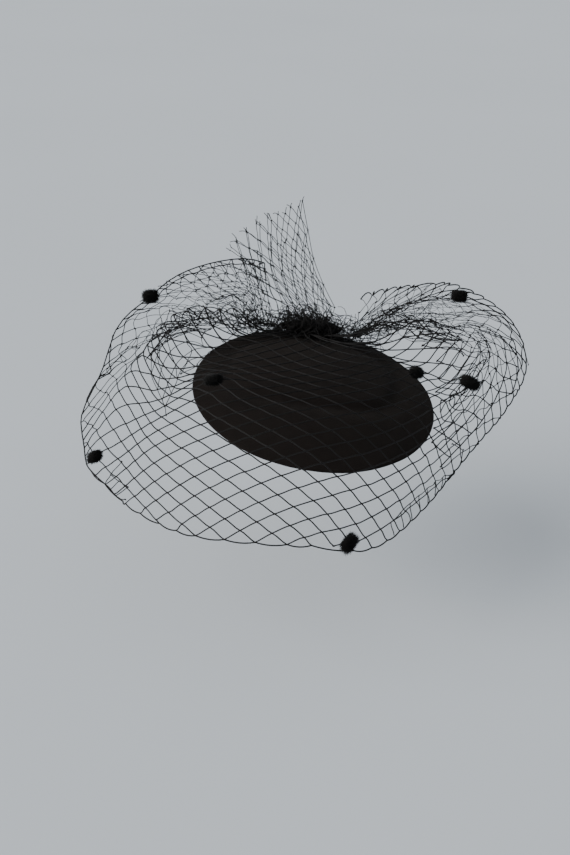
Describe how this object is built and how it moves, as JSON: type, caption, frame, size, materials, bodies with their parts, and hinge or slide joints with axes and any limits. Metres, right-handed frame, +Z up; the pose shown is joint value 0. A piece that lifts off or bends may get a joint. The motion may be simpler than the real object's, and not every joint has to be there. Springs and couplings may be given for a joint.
{
  "type": "fascinator",
  "caption": "Veiled fascinator: a shallow round felt base worn tipped on the head, with a gathered net veil, a standing net fan, chenille dots and a hidden hair comb.",
  "frame": {"origin": "centre of the felt base's rim, where the base sits on the head", "axes": "+Z up as worn, front of the veil towards -Y, +X to the viewer's right"},
  "size_m": [0.2849, 0.205, 0.1412],
  "materials": {
    "felt": "matt pressed wool felt",
    "net": "stiff diamond veiling net",
    "chenille": "fuzzy chenille tuft",
    "comb": "plain moulded comb"
  },
  "bodies": {
    "root": {"felt_base": "felt", "gather_knot": "net", "hair_comb": "comb", "veil_net": "net", "net_fan": "net", "chenille_dot_1": "chenille", "chenille_dot_2": "chenille", "chenille_dot_3": "chenille", "chenille_dot_4": "chenille", "chenille_dot_5": "chenille", "chenille_dot_6": "chenille", "chenille_dot_7": "chenille"}
  },
  "joints": []
}
